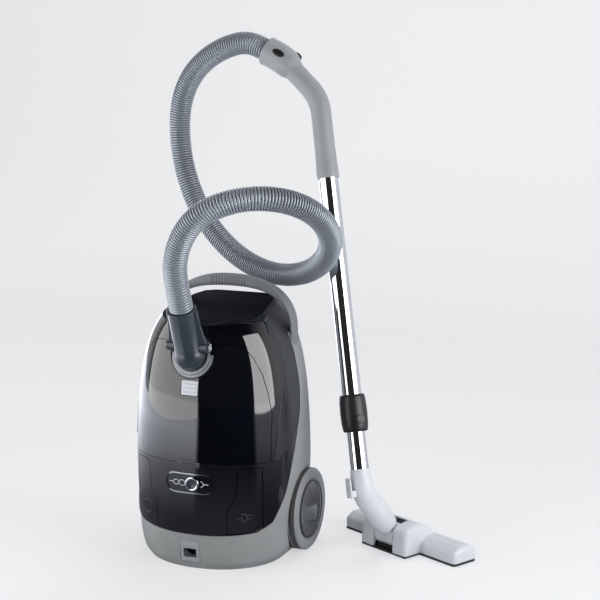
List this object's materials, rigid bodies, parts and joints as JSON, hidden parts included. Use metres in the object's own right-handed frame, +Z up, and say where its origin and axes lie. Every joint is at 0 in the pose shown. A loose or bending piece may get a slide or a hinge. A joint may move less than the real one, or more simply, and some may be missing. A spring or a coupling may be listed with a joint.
{
  "type": "canister vacuum cleaner",
  "caption": "Canister vacuum cleaner parked on its rear end, with ribbed hose, bent grip, telescopic chrome wand and a tilting floor head.",
  "frame": {"origin": "centre of the case's base on the floor, as the cleaner stands parked on its rear end", "axes": "+Z up, -Y front of the case with the dust cover, +X towards the wand and floor head"},
  "size_m": [0.6471, 0.4512, 0.9222],
  "materials": {
    "shell_grey": "satin mid grey moulding",
    "shell_dark": "satin dark grey moulding",
    "piano_black": "polished black",
    "light_grey": "satin light grey",
    "tub_grey": "matte inner moulding",
    "paper": "filter paper and fleece",
    "metal_case": "pressed",
    "windings": "copper windings",
    "rubber_black": "soft black",
    "board_green": "circuit board",
    "steel": "bright steel",
    "dark_plastic": "matte dark grey",
    "tyre_grey": "soft tyre",
    "hub_black": "glossy black cap",
    "elbow_slate": "satin slate",
    "hose_blue_grey": "flexible ribbed hose",
    "grip_grey": "matte grey",
    "chrome": "chromed tube",
    "head_blue_grey": "satin pale blue grey"
  },
  "bodies": {
    "canister": {"base_shell": "shell_grey", "upper_shell": "shell_dark", "rear_panel": "piano_black", "carry_handle": "shell_grey", "inlet_collar": "light_grey", "bag_chamber": "tub_grey", "bag_holder": "paper", "dust_bag": "paper", "motor_filter": "paper", "motor_case": "metal_case", "motor_stator": "windings", "motor_mounts": "rubber_black", "control_board": "board_green", "reel_frame": "steel", "reel_spring": "steel", "exhaust_filter": "paper", "exhaust_grille": "dark_plastic", "cord_outlet": "shell_grey", "chamber_seal": "rubber_black", "slider_guide": "light_grey", "wheel_axles": "steel", "case_screws": "steel", "hinge_pin": "steel", "pedal_springs": "steel", "hose": "hose_blue_grey", "hose_cuff": "dark_plastic"},
    "wheel_left": {"wheel_left": "tyre_grey", "hub_left": "hub_black"},
    "wheel_right": {"wheel_right": "tyre_grey", "hub_right": "hub_black"},
    "caster_fork": {"caster_fork": "dark_plastic", "caster_axle": "steel"},
    "caster_wheel": {"caster_wheel": "tyre_grey"},
    "cover": {"dust_cover": "piano_black", "latch_spring": "steel"},
    "latch": {"cover_latch": "light_grey"},
    "power_pedal": {"power_pedal": "piano_black"},
    "rewind_pedal": {"rewind_pedal": "piano_black"},
    "power_slider": {"power_slider": "light_grey"},
    "motor": {"motor_rotor": "windings", "impeller": "metal_case"},
    "reel": {"reel_drum": "tub_grey"},
    "elbow": {"hose_elbow": "elbow_slate"},
    "elbow_button_left": {"elbow_button_left": "light_grey"},
    "elbow_button_right": {"elbow_button_right": "light_grey"},
    "grip": {"grip_handle": "grip_grey", "upper_tube": "chrome", "lock_collar": "dark_plastic"},
    "relief_slider": {"relief_slider": "dark_plastic"},
    "lock_button": {"lock_button": "dark_plastic"},
    "wand_lower": {"lower_tube": "chrome", "neck_elbow": "dark_plastic"},
    "yoke": {"neck_yoke": "dark_plastic"},
    "head": {"head_shell": "head_blue_grey", "sole_plate": "dark_plastic"},
    "rollers": {"head_rollers": "rubber_black"}
  },
  "joints": [
    {"name": "wheel_spin_left", "type": "hinge", "parent": "canister", "child": "wheel_left", "pos_m": [-0.143, 0.06, 0.075], "axis": [1, 0, 0], "continuous": true},
    {"name": "wheel_spin_right", "type": "hinge", "parent": "canister", "child": "wheel_right", "pos_m": [0.143, 0.06, 0.075], "axis": [1, 0, 0], "continuous": true},
    {"name": "caster_swivel", "type": "hinge", "parent": "canister", "child": "caster_fork", "pos_m": [0, 0.1, 0.33], "axis": [0, 1, 0], "continuous": true},
    {"name": "caster_roll", "type": "hinge", "parent": "caster_fork", "child": "caster_wheel", "pos_m": [0, 0.119, 0.32], "axis": [1, 0, 0], "continuous": true},
    {"name": "cover_hinge", "type": "hinge", "parent": "canister", "child": "cover", "pos_m": [0, -0.117, 0.192], "axis": [1, 0, 0], "range_deg": [0, 70]},
    {"name": "latch_press", "type": "slide", "parent": "cover", "child": "latch", "axis": [0, 1, 0], "range_m": [0, 0.003], "stiffness_N_per_m": 800, "springref_m": -0.001},
    {"name": "power_pedal_press", "type": "slide", "parent": "canister", "child": "power_pedal", "axis": [0, 1, 0], "range_m": [0, 0.005], "stiffness_N_per_m": 800, "springref_m": -0.001},
    {"name": "rewind_pedal_press", "type": "slide", "parent": "canister", "child": "rewind_pedal", "axis": [0, 1, 0], "range_m": [0, 0.005], "stiffness_N_per_m": 800, "springref_m": -0.001},
    {"name": "power_slide", "type": "slide", "parent": "canister", "child": "power_slider", "axis": [1, 0, 0], "range_m": [-0.037, 0.023]},
    {"name": "motor_spin", "type": "hinge", "parent": "canister", "child": "motor", "pos_m": [-0.058, 0, 0.12], "axis": [0, 0, 1], "continuous": true},
    {"name": "reel_spin", "type": "hinge", "parent": "canister", "child": "reel", "pos_m": [0.048, -0.008, 0.086], "axis": [1, 0, 0], "continuous": true},
    {"name": "elbow_swivel", "type": "hinge", "parent": "canister", "child": "elbow", "pos_m": [0, -0.098, 0.377], "axis": [0, -0.9397, 0.342], "range_deg": [-60, 60], "deforming": ["hose"]},
    {"name": "elbow_button_left_press", "type": "slide", "parent": "elbow", "child": "elbow_button_left", "axis": [1, 0, 0], "range_m": [0, 0.003], "stiffness_N_per_m": 800, "springref_m": -0.001},
    {"name": "elbow_button_right_press", "type": "slide", "parent": "elbow", "child": "elbow_button_right", "axis": [-1, 0, 0], "range_m": [0, 0.003], "stiffness_N_per_m": 800, "springref_m": -0.001},
    {"name": "grip_swivel", "type": "hinge", "parent": "canister", "child": "grip", "pos_m": [0.02372, 0.17492, 0.88824], "axis": [-0.8979, 0.0117, 0.4401], "range_deg": [0, 100], "deforming": ["hose"]},
    {"name": "relief_slide", "type": "slide", "parent": "grip", "child": "relief_slider", "axis": [-0.8979, 0.0117, 0.4401], "range_m": [0, 0.012]},
    {"name": "lock_press", "type": "slide", "parent": "grip", "child": "lock_button", "axis": [-0.7077, 0.66, -0.2521], "range_m": [0, 0.003], "stiffness_N_per_m": 800, "springref_m": -0.001},
    {"name": "wand_extend", "type": "slide", "parent": "grip", "child": "wand_lower", "axis": [0.1844, -0.1719, -0.9677], "range_m": [0, 0.33]},
    {"name": "neck_swivel", "type": "hinge", "parent": "wand_lower", "child": "yoke", "pos_m": [0.2815, 0.08991, 0.0613], "axis": [-0.2874, -0.5522, 0.7826], "range_deg": [-60, 60]},
    {"name": "head_tilt", "type": "hinge", "parent": "yoke", "child": "head", "pos_m": [0.293, 0.112, 0.03], "axis": [0.887, -0.4617, 0], "range_deg": [-38, 38]},
    {"name": "roller_spin", "type": "hinge", "parent": "head", "child": "rollers", "pos_m": [0.28746, 0.10136, 0.0075], "axis": [0.887, -0.4617, 0], "continuous": true}
  ]
}
